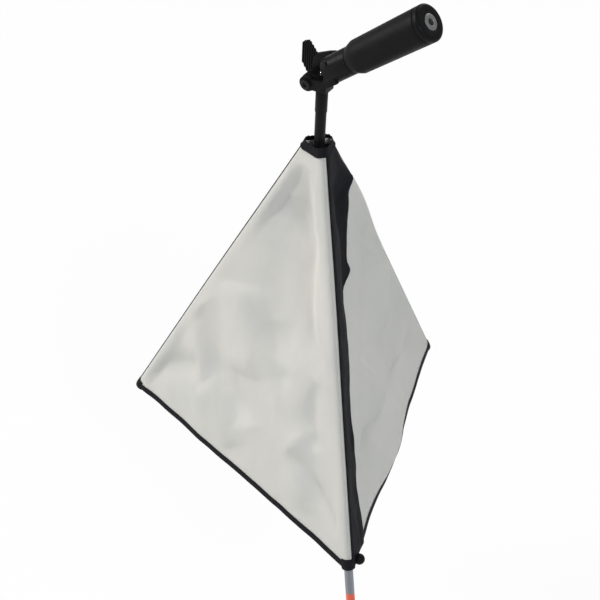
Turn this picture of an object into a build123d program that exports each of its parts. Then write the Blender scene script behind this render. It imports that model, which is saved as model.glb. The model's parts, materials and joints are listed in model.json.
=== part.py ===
from build123d import *
import os
from math import atan, cos, radians, sin, tan

# A three-sided cloth light cone on rods and an apex hub, carried by a half-inch stem in a
# tilting clamp head on a hand grip.  Millimetres, +Z up; the origin is the mouth of the
# lamp thread at the stem's lower end, and the grip leans in the XZ plane.

# ---- the cone
apex_height = 74.4          # where the three rod axes would meet, above the origin
cone_height = 484.4         # from that point down to the rim
rim_radius = 242.2          # rod axes' circle at the rim
near_azimuth = -45.0        # corner with the loose rod; the others follow every 120 degrees
cloth = 1.2
trim_proud = 0.6            # how far bindings stand out of the cloth
rim_band = 8.0
apex_band_top = 20.0        # along the rods, from the apex point
apex_band_width = 11.0
strip_thickness = 1.2
strip_full_until = 84.0     # along the right rod: above this the strip covers the whole face
strip_widths = ((190, 56), (216, 42), (300, 28), (360, 27), (500, 36))   # along the rod, width
toggle_radius = 7.0
toggle_lift = 3.0
toggle_inset = 11.0         # toggle's centre from the near edge, along the rim

# ---- rods
rod_radius = 5.5
rod_wall = 1.0
sleeve_clearance = 0.3
near_rod_overhang = 33.4    # past the rim
tip_length = 12.0
tip_round = 2.5
tip_shank = 15.0
cap_floor = 2.5
grommet_length = 4.0

# ---- stem and hub
stem_radius = 6.35
stem_wall = 1.2
stem_top = 146.0
sleeve_bottom = 99.0
stem_sleeve_wall = 0.55
hub_bottom = 16.0
hub_top = 46.0
hub_radius = 11.5
hub_web = 5.0
rod_start = 50.0            # along the rods, where the tubes butt against the hub's arms
spigot_length = 25.0
grub_radius = 2.0
grub_gap = 0.3
lamp_flange_radius = 9.0
lamp_flange = 3.0
lamp_thread_radius = 4.0
lamp_thread_length = 18.0
plug_length = 12.0
washer_radius = 7.5
washer_thickness = 1.2
screw_head_radius = 3.2
screw_head = 2.2
screw_radius = 2.0
screw_length = 10.0
screw_slot = 0.8

# ---- tilting head
pivot_back = 12.0           # tilt axis behind the stem's axis
block_height = 19.0
block_front = 9.5
block_half_width = 8.7
split = 1.0
bolt_radius = 3.0
bolt_head_radius = 5.5
bolt_head = 4.0
hex_key = 5.0
hex_depth = 2.2
disc_thickness = 1.0
disc_radius = 8.5
cheek = 4.0
cheek_end_radius = 9.0
side_gap = 0.05
fit = 0.05                  # running and thread clearance, radial

# ---- lever
lever_paddle = 5.0
lever_boss = 7.5
lever_boss_radius = 9.0
lever_gap = 0.3
groove = 1.2
groove_depth = 0.8
groove_pitch = 2.8
groove_count = 6

# ---- grip
grip_lean = 40.0            # of the grip's axis above the horizontal
neck_start = 12.0           # along the grip's axis from the stem's top
neck_radius = 15.5
barrel_start = 47.0
shoulder = 10.0
shoulder_radius = 18.9
barrel_radius = 20.3
end_ring_start = 150.0
grip_end = 157.0
end_ring_chamfer = 2.0
core_radius = 10.0
core_end = 149.0
bushing_radius = 8.8
bushing_proud = 0.6
bushing_shank_radius = 7.0
bushing_shank_end = 125.0
socket_thread_radius = 4.0
socket_thread_length = 22.0

# ---- what follows from them
spread = atan(rim_radius / cone_height)
apex = Vector(0, 0, apex_height)
rim_reach = cone_height / cos(spread)
wrap_inner = rod_radius + sleeve_clearance
wrap_outer = wrap_inner + cloth
trim_outer = wrap_outer + trim_proud
corners = {"near": near_azimuth, "right": near_azimuth + 120, "left": near_azimuth + 240}
sides = {"right": ("near", "right"), "rear": ("right", "left"), "left": ("left", "near")}
band_end = apex_band_top + apex_band_width
face_half_angle = atan(
    ((1 - (sin(spread) ** 2 * cos(radians(120)) + cos(spread) ** 2))
     / (1 + (sin(spread) ** 2 * cos(radians(120)) + cos(spread) ** 2))) ** 0.5)
binding_start = rim_reach - rim_band / cos(face_half_angle)
rod_bore = rod_radius - rod_wall
stem_bore = stem_radius - stem_wall
head_point = Vector(0, 0, stem_top)
pivot = Vector(-pivot_back, 0, stem_top - block_height / 2)
lean = radians(grip_lean)
grip_axis = Vector(cos(lean), 0, sin(lean))
grip_up = Vector(-sin(lean), 0, cos(lean))
cheek_inner = block_half_width + disc_thickness + 2 * side_gap
cheek_outer = cheek_inner + cheek
pivot_along = (pivot - head_point).dot(grip_axis)
pivot_across = (pivot - head_point).dot(grip_up)


def rod_direction(corner):
    azimuth = radians(corners[corner])
    return Vector(sin(spread) * cos(azimuth), sin(spread) * sin(azimuth), -cos(spread))


def rod_outward(corner):
    azimuth = radians(corners[corner])
    return Vector(cos(spread) * cos(azimuth), cos(spread) * sin(azimuth), sin(spread))


def rod_plane(corner, along):
    """Square across a rod, its x pointing out of the cone."""
    direction = rod_direction(corner)
    return Plane(origin=apex + direction * along, x_dir=rod_outward(corner), z_dir=direction)


def pull(plane, section, distance):
    """The section, drawn on a plane, extruded along the plane's normal."""
    return extrude(plane * section, distance, dir=plane.z_dir)


def round_bar(corner, start, end, outer, inner=0.0):
    section = Circle(outer)
    if inner:
        section -= Circle(inner)
    return pull(rod_plane(corner, start), section, end - start)


def face_plane(side, offset=0.0):
    """The cloth's outer face on one side: x level, y up the slope, z outwards."""
    first, second = (rod_direction(name) for name in sides[side])
    slope = (first + second).normalized()
    outward = first.cross(second).normalized()
    if outward.Z < 0:
        outward = outward * -1
    return Plane(origin=apex + outward * (wrap_outer + offset),
                 x_dir=(slope * -1).cross(outward), z_dir=outward)


def cloth_panel(side, start, end, thickness, offset=0.0):
    """A strip of one face between two distances along the rods."""
    top, bottom = start * cos(face_half_angle), end * cos(face_half_angle)
    spreading = tan(face_half_angle)
    outline = Polygon((-top * spreading, -top), (top * spreading, -top),
                      (bottom * spreading, -bottom), (-bottom * spreading, -bottom), align=None)
    return pull(face_plane(side, offset), outline, -thickness)


wrap_half = face_plane("right").z_dir.get_angle(face_plane("left").z_dir) / 2


def corner_wrap(corner, start, end, inner, outer):
    """Cloth folded round the outside of a rod, from one face to the next."""
    def point(radius, turn):
        return (radius * cos(radians(turn)), radius * sin(radians(turn)))
    outline = [CenterArc((0, 0), outer, -wrap_half, 2 * wrap_half),
               Line(point(outer, wrap_half), point(inner, wrap_half)),
               CenterArc((0, 0), inner, -wrap_half, 2 * wrap_half),
               Line(point(inner, -wrap_half), point(outer, -wrap_half))]
    return pull(rod_plane(corner, start), make_face(outline), end - start)


def upright(radius, bottom, top, bore=0.0):
    section = Circle(radius)
    if bore:
        section -= Circle(bore)
    return pull(Plane(origin=(0, 0, bottom)), section, top - bottom)


def cross_bar(radius, start, end, bore=0.0):
    """A round bar on the tilt axis, from one y to another."""
    section = Circle(radius)
    if bore:
        section -= Circle(bore)
    plane = Plane(origin=(pivot.X, start, pivot.Z), x_dir=(1, 0, 0), z_dir=(0, 1, 0))
    return pull(plane, section, end - start)


def side_plate(points, start, end, x_dir=Vector(1, 0, 0)):
    """A plate across y, outlined from the stem's top in x and z, or along and across the grip."""
    plane = Plane(origin=head_point + Vector(0, end, 0), x_dir=x_dir, z_dir=(0, -1, 0))
    return pull(plane, Polygon(*points, align=None), end - start)


def turned(points):
    """A solid of revolution on the grip's axis, outlined by radius and distance along it."""
    plane = Plane(origin=head_point, x_dir=grip_up, z_dir=grip_up.cross(grip_axis))
    return revolve(plane * Polygon(*points, align=None), Axis(head_point, grip_axis), 360)


# ---- cloth
def make_cloth():
    pieces = {}
    for side in sides:
        pieces[f"panel_{side}"] = cloth_panel(side, band_end, binding_start, cloth)
        pieces[f"binding_{side}"] = cloth_panel(
            side, binding_start, rim_reach, cloth + trim_proud, trim_proud)
    for corner in corners:
        pieces[f"rod_sleeve_{corner}"] = corner_wrap(
            corner, band_end, binding_start, wrap_inner, wrap_outer)
        pocket = corner_wrap(corner, binding_start, rim_reach, wrap_inner, trim_outer)
        if corner == "near":
            end = round_bar(corner, rim_reach, rim_reach + grommet_length, trim_outer, wrap_inner)
        else:
            end = round_bar(corner, rim_reach, rim_reach + cap_floor, trim_outer)
        pieces[f"corner_pocket_{corner}"] = pocket + end
    band = [cloth_panel(side, apex_band_top, band_end, cloth + trim_proud, trim_proud)
            for side in sides]
    band += [corner_wrap(corner, apex_band_top, band_end, wrap_inner, trim_outer)
             for corner in corners]
    pieces["apex_band"] = band[0].fuse(*band[1:])
    return pieces


def near_side_sign():
    """Which end of the right face's level axis has the near edge."""
    return 1 if face_plane("right").x_dir.dot(rod_direction("near")) > 0 else -1


def make_closure():
    """The closing flap over the near edge, and the toggle at its foot."""
    sign = near_side_sign()
    level = cos(face_half_angle)

    def spot(along, width):
        return (sign * (along * sin(face_half_angle) - width), -along * level)
    outline = [spot(band_end, 0), spot(binding_start, 0), spot(binding_start, strip_widths[-1][1])]
    outline += [spot(along, width) for along, width in reversed(strip_widths)]
    outline += [spot(along, 2 * along * sin(face_half_angle))
                for along in (strip_full_until, band_end)]
    strip = pull(face_plane("right"), Polygon(*outline, align=None), strip_thickness)
    across, down = spot(rim_reach - rim_band / 2, toggle_inset)
    ball = Pos(across, down, toggle_lift) * Sphere(toggle_radius)
    keep = Pos(across, down, toggle_radius * 2) * Box(*[toggle_radius * 4] * 3)
    toggle = face_plane("right", strip_thickness) * (ball & keep)
    return {"closure_strip": strip, "strip_toggle": toggle}


# ---- rods
def make_rods():
    pieces = {}
    for corner in ("left", "right"):
        pieces[f"rod_{corner}"] = round_bar(
            corner, rod_start, rim_reach - sleeve_clearance, rod_radius, rod_bore)
    near_end = rim_reach + near_rod_overhang
    pieces["rod_near"] = round_bar("near", rod_start, near_end, rod_radius, rod_bore)
    tip = round_bar("near", near_end, near_end + tip_length, rod_radius)
    far_edges = tip.edges().sort_by(Axis(apex, rod_direction("near")))[-1:]
    tip = fillet(far_edges, tip_round)
    pieces["rod_near_tip"] = tip + round_bar("near", near_end - tip_shank, near_end, rod_bore - fit)
    return pieces


# ---- stem and hub
def make_hub():
    hub = upright(hub_radius, hub_bottom, hub_top)
    arm_start = (apex_height - hub_top) / cos(spread) - rod_radius * tan(spread)
    for corner, azimuth in corners.items():
        arm = round_bar(corner, arm_start, rod_start, rod_radius)
        under_arm = (rod_start * sin(spread) - rod_radius * cos(spread),
                     apex_height - rod_start * cos(spread) - rod_radius * sin(spread))
        web = Polygon((stem_radius, hub_top), (arm_start * sin(spread), hub_top), under_arm,
                      (hub_radius - cloth, hub_bottom), (stem_radius, hub_bottom), align=None)
        turn = radians(azimuth)
        plane = Plane(origin=(0, 0, 0), x_dir=(cos(turn), sin(turn), 0),
                      z_dir=(sin(turn), -cos(turn), 0))
        hub += arm + extrude(plane * web, hub_web / 2, both=True)
    hub -= upright(rim_radius, hub_top, stem_top)
    for corner in corners:
        hub += round_bar(corner, rod_start, rod_start + spigot_length, rod_bore - fit)
    hub -= upright(stem_radius + fit, hub_bottom - stem_radius, stem_top)
    screws = []
    for turn in (near_azimuth + 60, near_azimuth + 180):
        across = Vector(cos(radians(turn)), sin(radians(turn)), 0)
        middle = Vector(0, 0, (hub_bottom + hub_top) / 2)
        hole = Plane(origin=middle, x_dir=(0, 0, 1), z_dir=across)
        hub -= pull(hole, Circle(grub_radius), hub_radius + grub_gap)
        seat = Plane(origin=middle + across * (stem_radius + fit), x_dir=(0, 0, 1), z_dir=across)
        screws.append(pull(seat, Circle(grub_radius - fit),
                           hub_radius - stem_radius - fit - grub_gap))
    return {"hub": hub, "hub_grub_screws": Compound(children=screws)}


def make_stem():
    tube = upright(stem_radius, lamp_flange, stem_top, stem_bore)
    lamp = upright(lamp_flange_radius, 0, lamp_flange) + upright(
        stem_bore - fit, lamp_flange, lamp_thread_length)
    lamp -= upright(lamp_thread_radius, 0, lamp_thread_length)
    plug = upright(stem_bore - fit, stem_top - plug_length, stem_top, screw_radius + fit)
    washer_bottom = stem_top + side_gap
    washer_top = washer_bottom + washer_thickness
    washer = upright(washer_radius, washer_bottom, washer_top, screw_radius + fit)
    screw = upright(screw_head_radius, washer_top, washer_top + screw_head)
    screw = fillet(screw.edges().sort_by(Axis.Z)[-1:], screw_head / 3)
    slot = Pos(0, 0, washer_top + screw_head) * Box(
        screw_head_radius * 3, screw_slot, screw_head)
    screw = screw - slot + upright(screw_radius, washer_top - screw_length, washer_top)
    sleeve = upright(stem_radius + fit + stem_sleeve_wall, sleeve_bottom,
                     stem_top - block_height - side_gap, stem_radius + fit)
    return {"stem_tube": tube, "lamp_bushing": lamp, "stem_plug": plug, "stem_sleeve": sleeve,
            "retaining_washer": washer, "retaining_screw": screw}


# ---- head
def make_head():
    plate = side_plate([(block_front, 0), (-pivot_back, 0), (-pivot_back, -block_height),
                        (block_front, -block_height)], -block_half_width, block_half_width)
    block = plate + cross_bar(block_height / 2, -block_half_width, block_half_width)
    block -= upright(stem_radius + fit, 0, stem_top)
    block -= cross_bar(bolt_radius + fit, -block_half_width, block_half_width)
    gap_length = pivot_back + block_height
    block -= Pos(-gap_length / 2 - stem_radius / 2, 0, stem_top) * Box(
        gap_length, split, 4 * block_height)
    disc = cross_bar(disc_radius, 0, disc_thickness, bolt_radius + fit)
    seats = (block_half_width + side_gap, -block_half_width - side_gap - disc_thickness)
    discs = [Pos(0, seat, 0) * disc for seat in seats]
    return {"stem_clamp": block, "friction_discs": Compound(children=discs)}


def make_lever():
    inner = cheek_outer + lever_gap
    paddle = side_plate([(-4, -2), (-19, 12), (-29, 24), (-36, 21), (-36, -3), (-28, -15),
                         (-14, -18)], inner, inner + lever_paddle)
    paddle = fillet(paddle.edges().filter_by(Axis.Y), 2.0)
    for index in range(groove_count):
        place = -34.0 + groove_pitch * index
        for face in (inner, inner + lever_paddle):
            paddle -= Pos(place, face, stem_top + 2) * Box(groove, groove_depth * 2, 60)
    lever = paddle + cross_bar(lever_boss_radius, inner, inner + lever_boss)
    lever -= cross_bar(bolt_radius + fit, inner, inner + lever_boss - 2 * side_gap - 1)
    return {"clamp_lever": lever}


# ---- grip
def make_core():
    low_edge = [(22, -14.5), (5, -13.5)]
    pivot_low = (pivot_along, pivot_across - cheek_end_radius)
    pivot_high = (pivot_along, pivot_across + cheek_end_radius)
    near_edge = [(-7, 2), (6, -6), (22, 12)]
    far_edge = [(-9, 19), (-2, 21.5), (14, 17.5), (22, 14.5)]
    near = side_plate([*low_edge, pivot_low, pivot_high, *near_edge],
                      -cheek_outer, -cheek_inner, grip_axis)
    far = side_plate([*low_edge, pivot_low, pivot_high, *far_edge],
                     cheek_inner, cheek_outer, grip_axis)
    near += cross_bar(cheek_end_radius, -cheek_outer, -cheek_inner)
    far += cross_bar(cheek_end_radius, cheek_inner, cheek_outer)
    body = turned([(0, neck_start), (neck_radius, neck_start), (neck_radius, barrel_start),
                   (core_radius, barrel_start), (core_radius, core_end), (0, core_end)])
    core = body + near + far
    core -= cross_bar(bolt_radius + fit, -cheek_outer, cheek_outer)
    core -= turned([(0, bushing_shank_end), (bushing_shank_radius + fit, bushing_shank_end),
                    (bushing_shank_radius + fit, core_end), (0, core_end)])
    return core


def make_grip():
    barrel = turned([(core_radius + fit, barrel_start), (neck_radius, barrel_start),
                     (shoulder_radius, barrel_start + shoulder),
                     (barrel_radius, end_ring_start), (core_radius + fit, end_ring_start)])
    ring = turned([(bushing_radius + fit, end_ring_start), (barrel_radius, end_ring_start),
                   (barrel_radius, grip_end - end_ring_chamfer),
                   (barrel_radius - end_ring_chamfer, grip_end), (bushing_radius + fit, grip_end)])
    mouth = grip_end + bushing_proud
    bushing = turned([(socket_thread_radius, mouth), (bushing_radius, mouth),
                      (bushing_radius, end_ring_start), (bushing_shank_radius, end_ring_start),
                      (bushing_shank_radius, bushing_shank_end), (0, bushing_shank_end),
                      (0, mouth - socket_thread_length),
                      (socket_thread_radius, mouth - socket_thread_length)])
    bolt = cross_bar(bolt_head_radius, -cheek_outer - bolt_head, -cheek_outer)
    key = Plane(origin=(pivot.X, -cheek_outer - bolt_head, pivot.Z), x_dir=(1, 0, 0),
                z_dir=(0, 1, 0))
    bolt -= pull(key, RegularPolygon(hex_key / 2, 6, major_radius=False), hex_depth)
    bolt += cross_bar(bolt_radius, -cheek_outer, cheek_outer + lever_gap + lever_boss - 2)
    return {"grip_core": make_core(), "grip_barrel": barrel, "grip_end_ring": ring,
            "socket_bushing": bushing, "tilt_bolt": bolt}


def main():
    os.makedirs("parts", exist_ok=True)
    for make in (make_cloth, make_closure, make_rods, make_hub, make_stem, make_head, make_lever,
                 make_grip):
        for node, shape in make().items():
            export_step(shape, f"parts/{node}.step")
            print(node, round(shape.volume, 1))


main()
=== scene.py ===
import bpy
import bmesh
import json
from math import cos, exp, hypot, pi, radians, sin
from mathutils import Matrix, Vector, noise

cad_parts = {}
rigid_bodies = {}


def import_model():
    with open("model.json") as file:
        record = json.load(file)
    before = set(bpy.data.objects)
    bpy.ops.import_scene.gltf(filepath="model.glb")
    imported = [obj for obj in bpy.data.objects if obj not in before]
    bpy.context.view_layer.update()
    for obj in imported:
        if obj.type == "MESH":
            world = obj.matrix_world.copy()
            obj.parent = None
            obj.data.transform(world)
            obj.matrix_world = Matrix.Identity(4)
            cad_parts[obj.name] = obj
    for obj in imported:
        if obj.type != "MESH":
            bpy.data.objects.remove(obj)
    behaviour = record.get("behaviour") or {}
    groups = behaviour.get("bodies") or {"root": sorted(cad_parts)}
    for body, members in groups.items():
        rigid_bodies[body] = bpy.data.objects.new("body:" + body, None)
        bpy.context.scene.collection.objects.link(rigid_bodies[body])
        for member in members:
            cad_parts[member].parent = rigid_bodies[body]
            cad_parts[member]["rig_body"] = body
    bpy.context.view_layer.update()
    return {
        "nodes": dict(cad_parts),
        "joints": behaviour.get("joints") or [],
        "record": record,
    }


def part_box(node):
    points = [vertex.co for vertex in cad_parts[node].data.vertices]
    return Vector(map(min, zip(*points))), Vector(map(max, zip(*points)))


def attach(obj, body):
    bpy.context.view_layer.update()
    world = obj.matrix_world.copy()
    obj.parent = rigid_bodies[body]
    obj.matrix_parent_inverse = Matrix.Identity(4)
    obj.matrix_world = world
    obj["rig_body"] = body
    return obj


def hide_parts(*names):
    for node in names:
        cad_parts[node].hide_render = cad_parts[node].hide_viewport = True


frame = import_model()
scene = bpy.context.scene
nodes = frame["nodes"]


# camera
viewSettings = {
    "place": (0.5875, -1.0169, 0.8460),
    "turn": (48.835, -1.855, 32.332),      # degrees, the small middle one is the tilt of the picture
    "lens": 74.57,
    "sensor": 36.0,
}


def makeCamera(s):
    data = bpy.data.cameras.new("viewCamera")
    data.lens = s["lens"]
    data.sensor_width = s["sensor"]
    camera = bpy.data.objects.new("viewCamera", data)
    camera.location = s["place"]
    camera.rotation_euler = [radians(a) for a in s["turn"]]
    scene.collection.objects.link(camera)
    scene.camera = camera


makeCamera(viewSettings)
scene.view_settings.view_transform = "Standard"
print("camera placed")


# shader maths written as expressions
class Wire:
    def __init__(self, paint, out):
        self.paint = paint
        self.out = out

    def op(self, operation, *values):
        return self.paint.node("ShaderNodeMath", {"operation": operation}, dict(enumerate(values)))

    def __add__(self, other):
        return self.op("ADD", self, other)

    def __radd__(self, other):
        return self.op("ADD", other, self)

    def __sub__(self, other):
        return self.op("SUBTRACT", self, other)

    def __rsub__(self, other):
        return self.op("SUBTRACT", other, self)

    def __mul__(self, other):
        return self.op("MULTIPLY", self, other)

    def __rmul__(self, other):
        return self.op("MULTIPLY", other, self)

    def sine(self):
        return self.op("SINE", self)

    def clamp(self):
        return self.paint.node("ShaderNodeClamp", {}, {0: self})


class Paint:
    def __init__(self, name):
        self.material = bpy.data.materials.new(name)
        self.material.use_nodes = True
        self.tree = self.material.node_tree
        self.shader = self.tree.nodes["Principled BSDF"]
        self.end = self.tree.nodes["Material Output"]

    def node(self, kind, settings, values, output=0):
        made = self.tree.nodes.new(kind)
        for key, value in settings.items():
            if key == "stops":
                ramp = made.color_ramp.elements
                while len(ramp) < len(value):
                    ramp.new(0.5)
                for stop, (place, shade) in zip(ramp, value):
                    stop.position = place
                    stop.color = (shade, shade, shade, 1) if isinstance(shade, float) else shade
            else:
                setattr(made, key, value)
        self.fill(made, values)
        return Wire(self, made.outputs[output])

    def fill(self, made, values):
        for key, value in values.items():
            if isinstance(value, Wire):
                self.tree.links.new(value.out, made.inputs[key])
            else:
                made.inputs[key].default_value = value

    def place(self, scale=(1, 1, 1), turn=(0, 0, 0), source="Object"):
        spot = self.node("ShaderNodeTexCoord", {}, {}, source)
        return self.node("ShaderNodeMapping", {}, {0: spot, "Scale": scale, "Rotation": turn})

    def noise(self, scale, detail=3.0, rough=0.5, where=None, output="Fac"):
        where = where or self.place()
        return self.node("ShaderNodeTexNoise", {}, {
            "Vector": where, "Scale": scale, "Detail": detail, "Roughness": rough}, output)

    def ramp(self, value, *stops):
        return self.node("ShaderNodeValToRGB", {"stops": stops}, {0: value})

    def mix(self, factor, one, other):
        return self.node("ShaderNodeMix", {"data_type": "RGBA"}, {0: factor, 6: one, 7: other}, 2)

    def bump(self, height, distance, strength=1.0, under=None):
        values = {"Height": height, "Distance": distance, "Strength": strength}
        if under:
            values["Normal"] = under
        return self.node("ShaderNodeBump", {}, values)

    def finish(self, **values):
        self.fill(self.shader, {key.replace("_", " "): value for key, value in values.items()})
        return self.material


def rgb(red, green, blue):
    return (red, green, blue, 1.0)


# cloth paints: the cloth map is in metres across and along the weave
weave = {"cloth": 0.0007, "tape": 0.0016}


def threads(p, pitch, depth, under=None):
    where = p.node("ShaderNodeUVMap", {"uv_map": "cloth"}, {})
    parts = p.node("ShaderNodeSeparateXYZ", {}, {0: where})
    across = (Wire(p, parts.out.node.outputs[0]) * (2 * pi / pitch)).sine()
    along = (Wire(p, parts.out.node.outputs[1]) * (2 * pi / pitch)).sine()
    return p.bump(across * along, depth, 0.6, under)


def paintWhiteCloth():
    p = Paint("whiteCloth")
    cloud = p.noise(9.0, 3.0, 0.55)
    soil = p.noise(38.0, 5.0, 0.65)
    crumple = p.noise(55.0, 4.0, 0.6)
    shade = p.mix(p.ramp(cloud, (0.35, 0.0), (0.65, 1.0)), rgb(0.70, 0.685, 0.65), rgb(0.655, 0.65, 0.62))
    shade = p.mix((soil - 0.55).clamp() * 0.8, shade, rgb(0.56, 0.545, 0.50))
    creased = p.bump(crumple, 0.0012, 0.5)
    return p.finish(Base_Color=shade, Roughness=0.72 + cloud * 0.12,
                    Normal=threads(p, weave["cloth"], 0.00012, creased),
                    Specular_IOR_Level=0.2)


def paintTape():
    p = Paint("blackTape")
    dust = p.noise(120.0, 5.0, 0.7)
    worn = p.noise(22.0, 3.0, 0.5)
    shade = p.mix(dust, rgb(0.006, 0.006, 0.008), rgb(0.014, 0.014, 0.018))
    shade = p.mix((worn - 0.5).clamp(), shade, rgb(0.024, 0.024, 0.028))
    rough = 0.62 + worn * 0.2
    return p.finish(Base_Color=shade, Roughness=rough,
                    Normal=threads(p, weave["tape"], 0.0003, p.bump(worn, 0.0015, 0.4)),
                    Specular_IOR_Level=0.12)


# hard paints
def paintGrained(name, dark, light, grain, rough, depth=0.0002, metal=0.0, shine=0.09):
    p = Paint(name)
    fine = p.noise(grain, 4.0, 0.6)
    broad = p.noise(grain / 14, 3.0, 0.5)
    shade = p.mix(broad, rgb(*dark), rgb(*light))
    return p.finish(Base_Color=shade, Roughness=rough - 0.12 + broad * 0.24, Metallic=metal,
                    Specular_IOR_Level=shine, Normal=p.bump(fine, depth, 0.7))


def paintBrushed(name, dark, light, rough, stretch):
    p = Paint(name)
    streak = p.noise(1.0, 4.0, 0.6, p.place(stretch))
    spots = p.noise(160.0, 3.0, 0.5)
    shade = p.mix(streak, rgb(*dark), rgb(*light))
    return p.finish(Base_Color=shade, Roughness=rough + streak * 0.15 - 0.07 + spots * 0.05,
                    Metallic=1.0, Normal=p.bump(streak, 0.0001, 0.4))


def paintTip():
    p = Paint("orangeTip")
    cloud = p.noise(90.0, 3.0, 0.5)
    scuff = (p.noise(420.0, 5.0, 0.7) - 0.55).clamp() * 2.0
    shade = p.mix(cloud, rgb(0.78, 0.11, 0.05), rgb(0.86, 0.17, 0.09))
    shade = p.mix(scuff.clamp(), shade, rgb(0.60, 0.14, 0.09))
    return p.finish(Base_Color=shade, Roughness=0.34 + cloud * 0.15,
                    Normal=p.bump(cloud, 0.0003, 0.3))


paints = {
    "white_cloth": paintWhiteCloth(),
    "black_webbing": paintTape(),
    "black_plastic": paintGrained("blackPlastic", (0.005, 0.005, 0.0055), (0.010, 0.010, 0.011), 900.0, 0.46),
    "grip_rubber": paintGrained("gripRubber", (0.004, 0.004, 0.0045), (0.010, 0.010, 0.011), 700.0, 0.50,
                                0.0004),
    "black_alloy": paintGrained("blackAlloy", (0.005, 0.005, 0.0055), (0.010, 0.010, 0.011), 1100.0, 0.44,
                                0.0003),
    "black_tube": paintGrained("blackTube", (0.006, 0.006, 0.0065), (0.011, 0.011, 0.012), 500.0, 0.36,
                               0.0001),
    "grey_tube": paintBrushed("greyTube", (0.24, 0.26, 0.29), (0.34, 0.36, 0.39), 0.42, (60, 60, 900)),
    "orange_tip": paintTip(),
    "grey_metal": paintBrushed("greyMetal", (0.36, 0.36, 0.35), (0.48, 0.48, 0.47), 0.38, (700, 700, 700)),
    "bright_steel": paintBrushed("brightSteel", (0.72, 0.72, 0.72), (0.86, 0.86, 0.86), 0.22,
                                 (400, 60, 400)),
    "black_steel": paintGrained("blackSteel", (0.02, 0.02, 0.022), (0.035, 0.035, 0.038), 600.0, 0.38,
                                0.0001, 0.6),
}
slotOf = {part["node"]: part["material_slot"] for part in frame["record"]["subparts"]}
for name, node in nodes.items():
    node.data.materials.clear()
    node.data.materials.append(paints[slotOf[name]])
print("paints mixed")


def bodyOf(node):
    return nodes[node]["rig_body"]


def addPiece(name, bm, slot, body, *stands):
    mesh = bpy.data.meshes.new(name)
    bm.to_mesh(mesh)
    bm.free()
    piece = bpy.data.objects.new(name, mesh)
    scene.collection.objects.link(piece)
    mesh.materials.append(paints[slot])
    mesh.shade_smooth()
    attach(piece, body)
    if stands:
        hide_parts(*stands)
    return piece


def thicken(piece, depth, inward=True):
    wall = piece.modifiers.new("wall", "SOLIDIFY")
    wall.thickness = depth
    wall.offset = -1 if inward else 1
    wall.use_even_offset = False
    return piece


# hard parts: each node's own form with its edges broken
broken = {
    "grip_core": 0.0007, "grip_barrel": 0.0016, "grip_end_ring": 0.0011, "socket_bushing": 0.0003,
    "stem_clamp": 0.0008, "clamp_lever": 0.0007, "tilt_bolt": 0.0004, "stem_sleeve": 0.0002,
    "hub": 0.0006, "strip_toggle": 0.0004,
}


def breakEdges(node, width):
    bm = bmesh.new()
    bm.from_mesh(nodes[node].data)
    bmesh.ops.remove_doubles(bm, verts=bm.verts, dist=0.00001)
    bmesh.ops.dissolve_limit(bm, angle_limit=radians(0.5), verts=bm.verts, edges=bm.edges)
    sharp = [e for e in bm.edges if e.is_manifold and e.calc_face_angle() > radians(32)]
    bmesh.ops.bevel(bm, geom=sharp, offset=width, offset_type="OFFSET", affect="EDGES", segments=3,
                    profile=0.5, material=-1, clamp_overlap=True)
    bmesh.ops.triangulate(bm, faces=[f for f in bm.faces if len(f.verts) > 4])
    piece = addPiece(node + "_finished", bm, slotOf[node], bodyOf(node), node)
    piece.data.set_sharp_from_angle(angle=radians(28))
    return piece


for node, width in broken.items():
    breakEdges(node, width)
print("edges broken")


# the cone's own shape, worked out from the rods
nearRod = Vector(next(j["axis"] for j in frame["joints"] if j["name"] == "rod_slide")).normalized()
rodDown = {name: Matrix.Rotation(radians(turn), 3, "Z") @ nearRod
           for name, turn in (("near", 0), ("right", 120), ("left", 240))}
rodMiddle = sum(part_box("rod_near"), Vector()) / 2
spread = hypot(nearRod.x, nearRod.y)
apexPoint = Vector((0, 0, rodMiddle.z - nearRod.z * hypot(rodMiddle.x, rodMiddle.y) / spread))
sideRods = {"left": ("left", "near"), "right": ("near", "right"), "rear": ("right", "left")}
wrapRadius = 0.007
halfFace = rodDown["near"].angle(rodDown["left"]) / 2
rimReach = (apexPoint.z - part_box("binding_rear")[0].z) / -nearRod.z
bandEnd = (apexPoint.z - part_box("apex_band")[0].z) / -nearRod.z


def sideNormal(side):
    one, other = (rodDown[name] for name in sideRods[side])
    normal = one.cross(other).normalized()
    return normal if normal.z > 0 else -normal


def rodOutward(name):
    down = rodDown[name]
    flat = Vector((down.x, down.y, 0)).normalized()
    return (flat - down * flat.dot(down)).normalized()


halfWrap = sideNormal("left").angle(rodOutward("near"))


def skinSpot(side, across, along, lift=0.0):
    # across runs 0 to 1 between the rods; past either end it is the angle turned round that rod
    first, second = sideRods[side]
    normal = sideNormals[side]
    turn = -across if across < 0 else max(across - 1, 0)
    outward = normal
    if turn:
        edge = edgeTurns[side, first if across < 0 else second]
        outward = normal * cos(turn) + edge * sin(turn)
    t = min(max(across, 0), 1)
    down = rodDown[first].lerp(rodDown[second], t)
    return apexPoint + down * along + outward * (wrapRadius + lift)


sideNormals = {side: sideNormal(side) for side in sideRods}
edgeTurns = {}
for side, pair in sideRods.items():
    for name in pair:
        toward = rodOutward(name)
        normal = sideNormals[side]
        edgeTurns[side, name] = (toward - normal * toward.dot(normal)).normalized()


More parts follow.
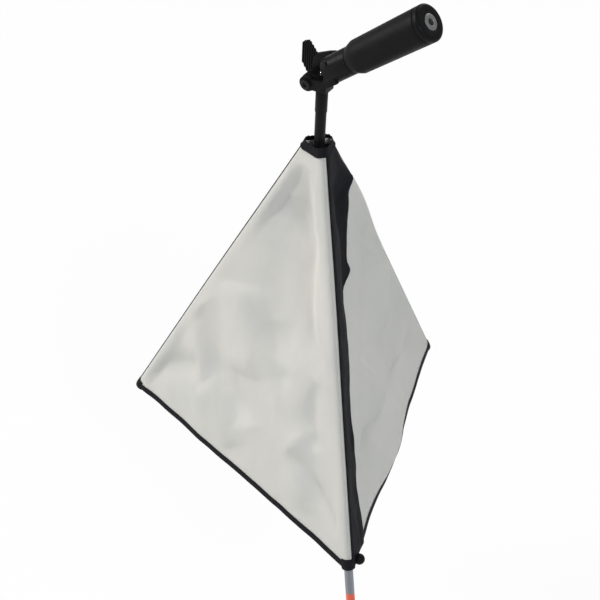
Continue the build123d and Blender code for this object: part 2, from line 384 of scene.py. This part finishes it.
# how the cloth hangs: folds are lines across (-1 to 1) and down (0 to 1) each side
folds = {
    "left": [
        {"line": [(-0.25, 0.04), (-0.1, 0.09), (0.17, 0.19), (0.45, 0.24), (0.42, 0.32), (0.47, 0.42),
                  (0.6, 0.49), (0.86, 0.52)],
         "lift": -0.0070, "width": (0.034, 0.018)},
        {"line": [(-0.5, 0.14), (-0.2, 0.3), (0.1, 0.46), (0.08, 0.6)], "lift": -0.0040,
         "width": (0.034, 0.03)},
        {"line": [(-0.05, 0.5), (0.22, 0.62), (0.43, 0.69), (0.57, 0.74)], "lift": -0.0034,
         "width": (0.014, 0.028)},
        {"line": [(0.74, 0.56), (0.64, 0.67), (0.74, 0.75)], "lift": -0.0026, "width": (0.01, 0.014)},
        {"line": [(-0.99, 0.6), (-0.68, 0.67), (-0.44, 0.76), (-0.19, 0.8), (-0.05, 0.86)],
         "lift": -0.0045, "width": (0.016, 0.034)},
        {"line": [(0.48, 0.79), (0.62, 0.84), (0.79, 0.87), (0.97, 0.93)], "lift": -0.0036,
         "width": (0.016, 0.014)},
        {"line": [(-1.0, 0.97), (-0.86, 0.84), (-0.6, 0.78)], "lift": -0.003, "width": (0.02, 0.016)},
        {"line": [(-0.52, 0.82), (-0.26, 0.88), (-0.1, 0.95)], "lift": 0.003, "width": (0.02, 0.026)},
        {"line": [(0.3, 0.62), (0.55, 0.78), (0.62, 0.95)], "lift": 0.0035, "width": (0.03, 0.02)},
        {"line": [(-0.6, 0.45), (-0.35, 0.55), (-0.1, 0.7)], "lift": 0.003, "width": (0.04, 0.03)},
    ],
    "right": [
        {"line": [(0.1, 0.06), (-0.2, 0.2), (-0.5, 0.42), (-0.66, 0.7)], "lift": -0.004,
         "width": (0.014, 0.024)},
        {"line": [(0.9, 0.3), (0.54, 0.45), (0.1, 0.59), (-0.3, 0.64)], "lift": -0.0065,
         "width": (0.02, 0.028)},
        {"line": [(0.95, 0.5), (0.75, 0.56), (0.34, 0.62), (-0.16, 0.6)], "lift": 0.0045,
         "width": (0.024, 0.018)},
        {"line": [(0.9, 0.84), (0.57, 0.89), (0.24, 0.84), (-0.33, 0.83), (-0.6, 0.76)], "lift": -0.0065,
         "width": (0.018, 0.024)},
        {"line": [(-0.1, 0.62), (-0.2, 0.8), (-0.05, 0.97)], "lift": 0.005, "width": (0.05, 0.05)},
    ],
    "rear": [
        {"line": [(-0.7, 0.2), (-0.3, 0.4), (0.05, 0.66), (0.4, 0.86)], "lift": -0.006,
         "width": (0.03, 0.016)},
        {"line": [(0.95, 0.55), (0.55, 0.66), (0.3, 0.8)], "lift": -0.005, "width": (0.014, 0.026)},
        {"line": [(-0.97, 0.8), (-0.6, 0.76), (-0.2, 0.84)], "lift": -0.004, "width": (0.016, 0.02)},
        {"line": [(0.1, 0.2), (0.35, 0.36), (0.5, 0.52)], "lift": 0.004, "width": (0.03, 0.03)},
        {"line": [(-0.4, 0.7), (-0.1, 0.85), (0.0, 0.96)], "lift": 0.004, "width": (0.03, 0.03)},
    ],
}
hang = {
    "reach": 2.6,            # how many widths off a fold it still counts
    "fade": 0.3,             # share of a fold's length over which it dies out at each end
    "bag": 0.34,             # how wide the billow is, from -1 to 1 across
    "depth": 2.3,            # how deep all the folds are
    "billow": 0.012,
    "sag": -0.005,           # slack between the rods
    "ripple": 0.0030,        # broad unevenness
    "drape": 0.0042,         # long soft folds down the slope
    "fine": 0.0008,          # small crumples
    "grain": (7, 4),         # waves of the ripple in a metre, across and down
    "fineGrain": (45, 30),
    "drapeGrain": (22, 5),
    "drapeLean": 0.25,       # how far the long folds run sideways
    "seam": 0.016,           # how far from a rod the cloth is held flat to it
    "hemHold": 0.55,         # how much the binding flattens folds at the rim
}


def faceSpot(across, down):
    along = bandEnd + (rimReach - bandEnd) * down
    return Vector((across * along * sin(halfFace), along * cos(halfFace)))


def rounded(points, times=3):
    for _ in range(times):
        cut = [points[0]]
        for one, other in zip(points, points[1:]):
            cut += [one.lerp(other, 0.25), one.lerp(other, 0.75)]
        points = cut + [points[-1]]
    return points


def readyFolds(side):
    ready = []
    for fold in folds[side]:
        line = rounded([faceSpot(*spot) for spot in fold["line"]])
        reach = max(fold["width"]) * hang["reach"]
        ready.append({
            "line": line, "lift": fold["lift"] * hang["depth"], "width": fold["width"], "reach": reach,
            "low": Vector((min(p.x for p in line) - reach, min(p.y for p in line) - reach)),
            "high": Vector((max(p.x for p in line) + reach, max(p.y for p in line) + reach))})
    return ready


def foldLift(fold, spot):
    if not (fold["low"].x < spot.x < fold["high"].x and fold["low"].y < spot.y < fold["high"].y):
        return 0.0
    best, side, share = fold["reach"], 1.0, 0.0
    line = fold["line"]
    for index in range(len(line) - 1):
        step = line[index + 1] - line[index]
        t = min(max((spot - line[index]).dot(step) / max(step.length_squared, 1e-12), 0), 1)
        gap = spot - (line[index] + step * t)
        if gap.length < best:
            best = gap.length
            side = step.x * gap.y - step.y * gap.x
            share = (index + t) / (len(line) - 1)
    width = fold["width"][0] if side > 0 else fold["width"][1]
    fade = smooth(share / hang["fade"]) * smooth((1 - share) / hang["fade"])
    return fold["lift"] * exp(-(best / width) ** 2) * fade


def smooth(value):
    value = min(max(value, 0.0), 1.0)
    return value * value * (3 - 2 * value)


sideFolds = {side: readyFolds(side) for side in sideRods}
sideSeed = {"left": 0.0, "right": 7.3, "rear": 15.1}      # so that no two sides crumple alike
edgeBag = {            # baggy stretches of the seams: rod, where down it, half length and size
    "right": (0.22, 0.13, 0.0055),
    "near": (0.35, 0.2, 0.0012),
    "left": (0.5, 0.3, 0.0008),
}


def seamLift(rod, down):
    middle, length, size = edgeBag[rod]
    return size * exp(-((down - middle) / length) ** 2)


def clothLift(side, t, along):
    down = (along - bandEnd) / (rimReach - bandEnd)
    t = min(max(t, 0.0), 1.0)
    spot = faceSpot(2 * t - 1, down)
    halfWidth = along * sin(halfFace)
    inset = halfWidth - abs(spot.x)
    held = smooth(inset / hang["seam"]) * smooth((down + 0.02) / 0.08)
    hem = 1 - hang["hemHold"] * smooth((down - 0.84) / 0.16)
    seed = sideSeed[side]
    wide, long = hang["grain"]
    broad = noise.noise(Vector((spot.x * wide + seed, spot.y * long, seed)))
    wide, long = hang["fineGrain"]
    small = noise.noise(Vector((spot.x * wide, spot.y * long + seed, 3.0)))
    wide, long = hang["drapeGrain"]
    lean = spot.x - hang["drapeLean"] * spot.y
    drape = noise.noise(Vector((lean * wide + seed, spot.y * long, 8.0 + seed))) * smooth(down * 2)
    lift = hang["sag"] * 4 * t * (1 - t) * sin(pi * min(down, 1.0) * 0.8)
    lift += hang["ripple"] * broad + hang["fine"] * small + hang["drape"] * drape
    lift += sum(foldLift(fold, spot) for fold in sideFolds[side])
    first, second = sideRods[side]
    loose = seamLift(first, down) * (1 - t) + seamLift(second, down) * t
    billow = 0.0
    if side == "right":      # the cloth balloons over its binding in the middle of the rim
        billow = hang["billow"] * exp(-((2 * t - 1 + 0.08) / hang["bag"]) ** 2
                                       - ((down - 0.955) / 0.05) ** 2)
    return lift * held * hem + loose + billow * held


turnSteps = 5            # columns of cloth round each rod
columns = 110
rows = 120


def acrossOf(share):
    # the grid's columns: a few go round each rod, the rest lie between the rods
    flat = columns - 2 * turnSteps
    step = round(share * columns)
    if step < turnSteps:
        return -halfWrap * (turnSteps - step) / turnSteps
    if step > columns - turnSteps:
        return 1 + halfWrap * (step - columns + turnSteps) / turnSteps
    return (step - turnSteps) / flat


def clothGrid(wide, long, spotOf):
    # a flat grid whose corners run 0 to 1 is carried onto the cone, with its cloth map in metres
    bm = bmesh.new()
    bmesh.ops.create_grid(bm, x_segments=wide, y_segments=long, size=0.5)
    layer = bm.loops.layers.uv.new("cloth")
    flatMap = {}
    for vert in bm.verts:
        share, down = vert.co.x + 0.5, vert.co.y + 0.5
        vert.co, flatMap[vert] = spotOf(share, down)
    for face in bm.faces:
        for loop in face.loops:
            loop[layer].uv = flatMap[loop.vert]
    bm.normal_update()
    middle = sum((v.co for v in bm.verts), Vector()) / len(bm.verts)
    outward = Vector((middle.x, middle.y, 0))
    if sum((f.normal * f.calc_area() for f in bm.faces), Vector()).dot(outward) < 0:
        bmesh.ops.reverse_faces(bm, faces=bm.faces)
    return bm


def alongRods(start, end, down):
    return start + (end - start) * down


def mapSpot(across, along):
    half = along * sin(halfFace)
    over = -across if across < 0 else max(across - 1, 0)
    edge = (2 * min(max(across, 0), 1) - 1) * half
    return Vector((edge + (wrapRadius * over if across > 0.5 else -wrapRadius * over), along))


panel = {"top": bandEnd - 0.004, "bottom": rimReach - 0.001, "thick": 0.0006}


def makePanel(side):
    def spotOf(share, down):
        across = acrossOf(share)
        along = alongRods(panel["top"], panel["bottom"], down)
        return skinSpot(side, across, along, clothLift(side, across, along)), mapSpot(across, along)
    bm = clothGrid(columns, rows, spotOf)
    node = "panel_" + side
    sleeve = "rod_sleeve_" + sideRods[side][1]
    piece = addPiece("cloth_" + side, bm, "white_cloth", bodyOf(node), node, sleeve)
    thicken(piece, panel["thick"])
    width = 2 * panel["bottom"] * sin(halfFace) + 2 * halfWrap * wrapRadius
    top = 2 * panel["top"] * sin(halfFace) + 2 * halfWrap * wrapRadius
    length = (panel["bottom"] - panel["top"]) * cos(halfFace)
    (width + top) / 2 * length


for side in sideRods:
    makePanel(side)
    print("cloth hung on side", side)


# black tape: rim bindings, apex band, closure strip
binding = {"width": 0.0085, "over": 0.0005, "thick": 0.0009, "steps": 12}


def makeBinding(side):
    rim = panel["bottom"]
    width, over = binding["width"], binding["over"]
    inner = -panel["thick"] - over
    profile = [(rim - width, over), (rim - width * 0.5, over * 1.3), (rim, over), (rim + over * 1.6, -0.0003),
               (rim, inner), (rim - width * 0.5, inner * 1.2), (rim - width, inner)]

    def spotOf(share, down):
        across = acrossOf(share)
        step = down * (len(profile) - 1)
        index = min(int(step), len(profile) - 2)
        part = step - index
        along = profile[index][0] * (1 - part) + profile[index + 1][0] * part
        proud = profile[index][1] * (1 - part) + profile[index + 1][1] * part
        lift = clothLift(side, across, min(along, rim)) + proud
        run = down * 2 * width
        return skinSpot(side, across, along, lift), Vector((run, mapSpot(across, rim).x))
    bm = clothGrid(columns, binding["steps"], spotOf)
    node = "binding_" + side
    piece = addPiece("rim_tape_" + side, bm, "black_webbing", bodyOf(node), node)
    thicken(piece, 0.0004, inward=False)
    length = 2 * rim * sin(halfFace) + 2 * halfWrap * wrapRadius


for side in sideRods:
    makeBinding(side)
print("rim bound")

apexBand = {
    "top": 0.0195, "bottom": bandEnd + 0.0015, "proud": 0.0007, "thick": 0.0009,
    "columns": 24,           # on each side
    "turn": 0.6,             # share of the flat part's width that each turn round a rod takes
    "rows": 10, "pucker": 0.0005, "flare": 0.0008,
}


def makeApexBand():
    # one strip goes round all three sides
    ring = ["left", "right", "rear"]
    per = apexBand["columns"]
    turn = apexBand["turn"]

    def spotOf(share, down):
        step = round(share * per * 3)
        side = ring[min(step // per, 2)]
        part = (step - per * ring.index(side)) / per
        across = (1 + 2 * turn) * part - turn
        if across < 0:
            across *= halfWrap / turn
        elif across > 1:
            across = 1 + (across - 1) * halfWrap / turn
        along = alongRods(apexBand["top"], apexBand["bottom"], down)
        pucker = apexBand["pucker"] * sin(step * 1.7) * (1 - down)
        flare = apexBand["flare"] * smooth((down - 0.8) / 0.2)
        lift = apexBand["proud"] + pucker + flare
        return skinSpot(side, across, along, lift), Vector((along, share * 0.09))
    bm = clothGrid(per * 3, apexBand["rows"], spotOf)
    bmesh.ops.remove_doubles(bm, verts=bm.verts, dist=0.00002)
    bmesh.ops.recalc_face_normals(bm, faces=bm.faces)
    piece = addPiece("apex_tape", bm, "black_webbing", bodyOf("apex_band"), "apex_band")
    thicken(piece, apexBand["thick"], inward=False)
    girth = 3 * (2 * 0.026 * sin(halfFace) + 2 * halfWrap * wrapRadius)


makeApexBand()

strip = {
    # down the edge and width; 1.0 is wider than the cone, so the strip covers the whole side
    "widths": [(0.0, 1.0), (0.105, 1.0), (0.16, 0.0565), (0.26, 0.056), (0.315, 0.055), (0.345, 0.060),
               (0.375, 0.043), (0.45, 0.034), (0.54, 0.027), (0.66, 0.0265), (0.8, 0.030), (0.94, 0.036),
               (1.0, 0.036)],
    "start": 0.55,           # how far round the near rod it begins
    "ease": 1.1,             # its widths are taken this much fuller
    "turned": 0.16,          # share of its columns that lie round the rod
    "free": 0.72,            # where its loose edge begins to curl
    "proud": 0.0006, "thick": 0.0008, "curl": 0.0022, "crumple": 0.0006, "wide": 26, "long": 150,
}


def stripWidth(down, full):
    stops = strip["widths"]
    for (one, small), (other, large) in zip(stops, stops[1:]):
        if down <= other:
            part = smooth((down - one) / (other - one))
            small, large = min(small, full), min(large, full)
            return small + (large - small) * part
    return stops[-1][1]


def makeStrip():
    def spotOf(share, down):
        along = alongRods(bandEnd - 0.003, rimReach - 0.0005, down)
        full = 2 * along * sin(halfFace)
        width = min(stripWidth(down, full) * strip["ease"], full)
        turned = strip["turned"]
        if share < turned:
            across = -halfWrap * strip["start"] * (1 - share / turned)
        else:
            across = (share - turned) / (1 - turned) * width / full
        edge = smooth((share - strip["free"]) / (1 - strip["free"]))
        wave = noise.noise(Vector((down * 9, 4.0, 1.0)))
        lift = clothLift("right", across, along) + strip["proud"]
        lift += edge * strip["curl"] * (0.55 + wave) * smooth(down * 8)
        lift += strip["crumple"] * noise.noise(Vector((share * 5, down * 26, 2.0)))
        return skinSpot("right", across, along, lift), Vector((share * 0.04, along))
    bm = clothGrid(strip["wide"], strip["long"], spotOf)
    piece = addPiece("closure_flap", bm, "black_webbing", bodyOf("closure_strip"), "closure_strip")
    thicken(piece, strip["thick"], inward=False)
    length = rimReach - bandEnd


makeStrip()
print("tape sewn on")

# corner pockets: a tape cap folded over each rod's end
pocket = {"back": 0.013, "radius": 0.0086, "past": 0.0026, "segments": 36}


def makePocket(name):
    down = rodDown[name]
    turn = Vector((0, 0, 1)).rotation_difference(down).to_matrix().to_4x4()
    start = rimReach - pocket["back"]
    stops = [(start, 0.96), (start + 0.002, 1.0), (rimReach - 0.003, 1.03), (rimReach + 0.001, 0.98)]
    last = rimReach + pocket["past"]
    stops += [(last, 0.72)] if name == "near" else [(last, 0.72), (last + 0.0006, 0.3)]
    bm = bmesh.new()
    bmesh.ops.create_circle(bm, segments=pocket["segments"], radius=pocket["radius"] * stops[0][1],
                            matrix=Matrix.Translation(apexPoint + down * start) @ turn)
    edges = list(bm.edges)
    for (near, small), (far, large) in zip(stops, stops[1:]):
        made = bmesh.ops.extrude_edge_only(bm, edges=edges)["geom"]
        verts = [v for v in made if isinstance(v, bmesh.types.BMVert)]
        edges = [e for e in made if isinstance(e, bmesh.types.BMEdge)]
        centre = apexPoint + down * near
        bmesh.ops.scale(bm, verts=verts, vec=[large / small] * 3, space=Matrix.Translation(-centre))
        bmesh.ops.translate(bm, verts=verts, vec=down * (far - near))
    if name != "near":
        bmesh.ops.contextual_create(bm, geom=edges)
    layer = bm.loops.layers.uv.new("cloth")
    side = down.orthogonal()
    for face in bm.faces:
        for loop in face.loops:
            spot = loop.vert.co - apexPoint
            loop[layer].uv = (spot.dot(side), spot.dot(down))
    bmesh.ops.recalc_face_normals(bm, faces=bm.faces)
    node = "corner_pocket_" + name
    piece = addPiece("corner_cap_" + name, bm, "black_webbing", bodyOf(node), node)
    if name == "near":
        thicken(piece, 0.0012)


for name in rodDown:
    makePocket(name)


def makeSeam(name, radius=0.0007):
    # the two panels' edges are bound together along the middle of the rod
    side = "left" if name == "left" else "right"
    end = -halfWrap if name == "left" else 1 + halfWrap
    across = (rodDown[name].cross(rodOutward(name))).normalized()

    def spotOf(share, down):
        along = alongRods(panel["top"], panel["bottom"], down)
        middle = skinSpot(side, end, along, clothLift(side, end, along) + radius * 0.6)
        turn = 2 * pi * share
        spot = middle + (across * cos(turn) + rodOutward(name) * sin(turn)) * radius
        return spot, Vector((share * 0.004, along))
    bm = clothGrid(8, 90, spotOf)
    bmesh.ops.remove_doubles(bm, verts=bm.verts, dist=0.00001)
    bmesh.ops.holes_fill(bm, edges=bm.edges, sides=12)
    bmesh.ops.recalc_face_normals(bm, faces=bm.faces)
    addPiece("seam_" + name, bm, "black_webbing", bodyOf("rod_sleeve_" + name))


for name in ("left", "right"):
    makeSeam(name)
print("corners capped")

# stage and light
stageSettings = {"floor": -0.72, "size": 14.0, "colour": (0.93, 0.93, 0.93)}
lights = [
    {"name": "keyLight", "place": (-4.2, -1.7, 2.2), "size": 0.9, "power": 188.0,
     "colour": (1.0, 0.985, 0.95)},
    {"name": "fillLight", "place": (2.2, -1.3, 1.9), "size": 1.0, "power": 44.0,
     "colour": (0.94, 0.98, 1.0)},
    {"name": "backLight", "place": (0.0, 2.6, 1.6), "size": 2.0, "power": 30.0,
     "colour": (1.0, 1.0, 1.0)},
]


def makeStage(s):
    bm = bmesh.new()
    bmesh.ops.create_grid(bm, x_segments=2, y_segments=2, size=s["size"],
                          matrix=Matrix.Translation((0, 0, s["floor"])))
    mesh = bpy.data.meshes.new("floor")
    bm.to_mesh(mesh)
    bm.free()
    floor = bpy.data.objects.new("floor", mesh)
    scene.collection.objects.link(floor)
    p = Paint("floorPaint")
    seen = p.node("ShaderNodeLightPath", {}, {}, "Is Camera Ray")
    glossy = p.node("ShaderNodeLightPath", {}, {}, "Is Glossy Ray")
    glow = p.node("ShaderNodeEmission", {}, {"Color": rgb(1, 1, 1), "Strength": 1.0})
    p.finish(Base_Color=rgb(*s["colour"]), Roughness=0.9)
    share = (seen + glossy).clamp() * 0.93
    both = p.node("ShaderNodeMixShader", {}, {0: share, 1: Wire(p, p.shader.outputs[0]), 2: glow})
    p.tree.links.new(both.out, p.end.inputs["Surface"])
    mesh.materials.append(p.material)


def makeLights():
    aim = Vector((0, 0, -0.15))
    for light in lights:
        data = bpy.data.lights.new(light["name"], "AREA")
        data.shape = "DISK"
        data.size = light["size"]
        data.energy = light["power"]
        data.color = light["colour"]
        lamp = bpy.data.objects.new(light["name"], data)
        lamp.location = light["place"]
        lamp.rotation_euler = (aim - Vector(light["place"])).to_track_quat("-Z", "Y").to_euler()
        scene.collection.objects.link(lamp)
    world = bpy.data.worlds.new("softRoom")
    scene.world = world
    world.use_nodes = True
    tree = world.node_tree
    room = tree.nodes["Background"]
    room.inputs["Color"].default_value = rgb(0.93, 0.96, 1.0)
    room.inputs["Strength"].default_value = 0.22
    backdrop = tree.nodes.new("ShaderNodeBackground")
    backdrop.inputs["Color"].default_value = rgb(1, 1, 1)
    ray = tree.nodes.new("ShaderNodeLightPath")
    both = tree.nodes.new("ShaderNodeMixShader")
    tree.links.new(ray.outputs["Is Camera Ray"], both.inputs[0])
    tree.links.new(room.outputs[0], both.inputs[1])
    tree.links.new(backdrop.outputs[0], both.inputs[2])
    tree.links.new(both.outputs[0], tree.nodes["World Output"].inputs["Surface"])


makeStage(stageSettings)
makeLights()
print("lights on")
